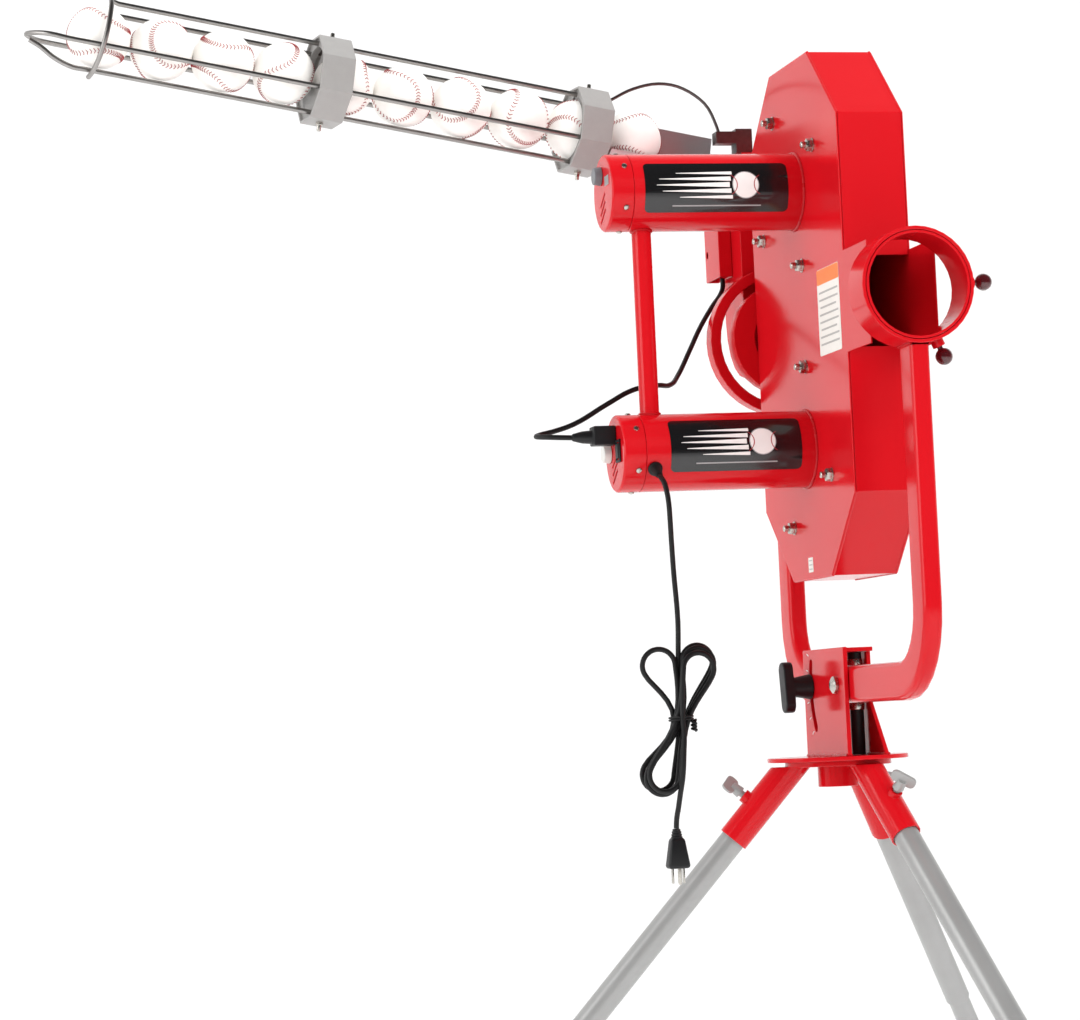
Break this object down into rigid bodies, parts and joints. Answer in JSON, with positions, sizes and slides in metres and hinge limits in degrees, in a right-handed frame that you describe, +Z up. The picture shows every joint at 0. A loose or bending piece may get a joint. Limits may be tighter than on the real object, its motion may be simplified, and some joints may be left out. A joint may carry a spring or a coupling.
{
  "type": "baseball pitching machine",
  "caption": "Two-wheel baseball pitching machine: a tall octagonal wheel housing with side motors and a sloping ball rack, in a U yoke on a telescoping tripod.",
  "frame": {"origin": "middle of the machine's box on the ground, free cords left out", "axes": "+Z up, -Y the way the ball is thrown, -X the side the motors and the ball rack stand out to"},
  "size_m": [1.4212, 1.2668, 1.6928],
  "materials": {
    "red_enamel": "glossy baked enamel on steel sheet and tube",
    "rack_grey": "satin grey paint on cast clamps",
    "leg_grey": "satin grey paint on steel tube",
    "plated_wire": "bright zinc plated wire",
    "galvanised_sheet": "bright galvanised sheet",
    "plated_steel": "zinc plated hardware",
    "cable_steel": "stranded steel cable",
    "wheel_alloy": "turned cast alloy",
    "wheel_tyre": "moulded rubber",
    "dark_red_knob": "polished phenolic ball",
    "black_plastic": "moulded, satin",
    "dial_grey": "moulded, satin",
    "dial_white": "moulded, satin",
    "foot_rubber": "moulded rubber",
    "cord_jacket": "moulded jacket"
  },
  "bodies": {
    "tripod": {"tripod_hub": "red_enamel", "leg_1_upper_tube": "leg_grey", "leg_2_upper_tube": "leg_grey", "leg_3_upper_tube": "leg_grey"},
    "tower": {"tower_left_plate": "red_enamel", "tower_right_plate": "red_enamel", "tower_post": "black_plastic", "swivel_plate": "red_enamel", "tilt_pivot_bolt": "plated_steel"},
    "yoke": {"yoke_frame": "red_enamel", "front_ring": "red_enamel", "rear_ring": "red_enamel"},
    "head": {"housing_left_cover": "red_enamel", "housing_right_cover": "red_enamel", "housing_upper_wrap": "red_enamel", "housing_lower_wrap": "red_enamel", "barrel_tube": "red_enamel", "rear_drum": "red_enamel", "upper_motor_can": "red_enamel", "upper_motor_cap": "red_enamel", "lower_motor_can": "red_enamel", "lower_motor_cap": "red_enamel", "motor_brace_tube": "red_enamel", "feed_chute": "red_enamel", "feeder_cover": "red_enamel", "rack_top_wire": "plated_wire", "rack_upper_wire": "plated_wire", "rack_loop_wire": "plated_wire", "rack_bottom_wire": "plated_wire", "rack_inner_clamp": "rack_grey", "rack_outer_clamp": "rack_grey", "ball_trough": "galvanised_sheet", "retaining_cable": "cable_steel", "feeder_plug": "black_plastic", "feeder_cord": "cord_jacket", "mains_strain_relief": "cord_jacket", "mains_cord": "cord_jacket", "mains_cord_hank": "cord_jacket", "mains_cord_tail": "cord_jacket", "mains_plug": "black_plastic"},
    "upper_wheel": {"upper_wheel_drive": "wheel_alloy", "upper_tyre": "wheel_tyre"},
    "lower_wheel": {"lower_wheel_drive": "wheel_alloy", "lower_tyre": "wheel_tyre"},
    "cam": {"feeder_cam": "black_plastic"},
    "upper_dial": {"upper_speed_dial": "dial_grey"},
    "lower_dial": {"lower_speed_dial": "dial_white"},
    "rocker": {"power_switch": "black_plastic"},
    "tilt_knob": {"tilt_lock_knob": "black_plastic"},
    "ring_knob_1": {"ring_lock_knob_1": "dark_red_knob"},
    "ring_knob_2": {"ring_lock_knob_2": "dark_red_knob"},
    "leg_1": {"leg_1_lower_tube": "leg_grey", "leg_1_foot": "foot_rubber"},
    "wing_bolt_1": {"leg_1_wing_bolt": "plated_steel"},
    "leg_2": {"leg_2_lower_tube": "leg_grey", "leg_2_foot": "foot_rubber"},
    "wing_bolt_2": {"leg_2_wing_bolt": "plated_steel"},
    "leg_3": {"leg_3_lower_tube": "leg_grey", "leg_3_foot": "foot_rubber"},
    "wing_bolt_3": {"leg_3_wing_bolt": "plated_steel"}
  },
  "joints": [
    {"name": "pan_swivel", "type": "hinge", "parent": "tripod", "child": "tower", "pos_m": [0.1946, 0.08157, 0.78], "axis": [0, 0, 1], "range_deg": [-45, 45]},
    {"name": "head_tilt", "type": "hinge", "parent": "tower", "child": "yoke", "pos_m": [0.1986, 0.03357, 0.862], "axis": [1, 0, 0], "range_deg": [-25, 12]},
    {"name": "head_roll", "type": "hinge", "parent": "yoke", "child": "head", "pos_m": [0.1986, -0.02643, 1.2855], "axis": [0, 1, 0], "range_deg": [-10, 45]},
    {"name": "upper_wheel_spin", "type": "hinge", "parent": "head", "child": "upper_wheel", "pos_m": [0.1986, 0.03357, 1.4355], "axis": [1, 0, 0], "continuous": true},
    {"name": "lower_wheel_spin", "type": "hinge", "parent": "head", "child": "lower_wheel", "pos_m": [0.1986, 0.03357, 1.1355], "axis": [1, 0, 0], "continuous": true},
    {"name": "feeder_cam_spin", "type": "hinge", "parent": "head", "child": "cam", "pos_m": [0.1586, 0.34157, 1.4075], "axis": [1, 0, 0], "continuous": true},
    {"name": "upper_dial_turn", "type": "hinge", "parent": "head", "child": "upper_dial", "pos_m": [-0.0774, 0.04057, 1.4565], "axis": [1, 0, 0], "range_deg": [0, 270]},
    {"name": "lower_dial_turn", "type": "hinge", "parent": "head", "child": "lower_dial", "pos_m": [-0.0774, 0.05557, 1.1375], "axis": [1, 0, 0], "range_deg": [0, 270]},
    {"name": "power_switch_rock", "type": "hinge", "parent": "head", "child": "rocker", "pos_m": [-0.0669, 0.01457, 1.1375], "axis": [0, 1, 0], "range_deg": [-5, 5]},
    {"name": "tilt_knob_turn", "type": "hinge", "parent": "yoke", "child": "tilt_knob", "pos_m": [0.1586, 0.12957, 0.862], "axis": [1, 0, 0], "range_deg": [-180, 180]},
    {"name": "ring_knob_1_turn", "type": "hinge", "parent": "yoke", "child": "ring_knob_1", "pos_m": [0.27349, -0.24043, 1.28943], "axis": [0.9986, 0, 0.0523], "range_deg": [-180, 180]},
    {"name": "ring_knob_2_turn", "type": "hinge", "parent": "yoke", "child": "ring_knob_2", "pos_m": [0.2291, -0.24043, 1.21698], "axis": [0.4067, 0, -0.9135], "range_deg": [-180, 180]},
    {"name": "leg_1_extend", "type": "slide", "parent": "tripod", "child": "leg_1", "axis": [-0.6431, 0.1485, -0.7513], "range_m": [0, 0.08]},
    {"name": "wing_bolt_1_turn", "type": "hinge", "parent": "tripod", "child": "wing_bolt_1", "pos_m": [0.08015, 0.10799, 0.74392], "axis": [-0.732, 0.169, 0.66], "range_deg": [-180, 180]},
    {"name": "leg_2_extend", "type": "slide", "parent": "tripod", "child": "leg_2", "axis": [0.193, -0.6312, -0.7513], "range_m": [0, 0.08]},
    {"name": "wing_bolt_2_turn", "type": "hinge", "parent": "tripod", "child": "wing_bolt_2", "pos_m": [0.22894, -0.03076, 0.74392], "axis": [0.2196, -0.7184, 0.66], "range_deg": [-180, 180]},
    {"name": "leg_3_extend", "type": "slide", "parent": "tripod", "child": "leg_3", "axis": [0.4501, 0.4827, -0.7513], "range_m": [0, 0.08]},
    {"name": "wing_bolt_3_turn", "type": "hinge", "parent": "tripod", "child": "wing_bolt_3", "pos_m": [0.2747, 0.16747, 0.74392], "axis": [0.5124, 0.5494, 0.66], "range_deg": [-180, 180]}
  ]
}
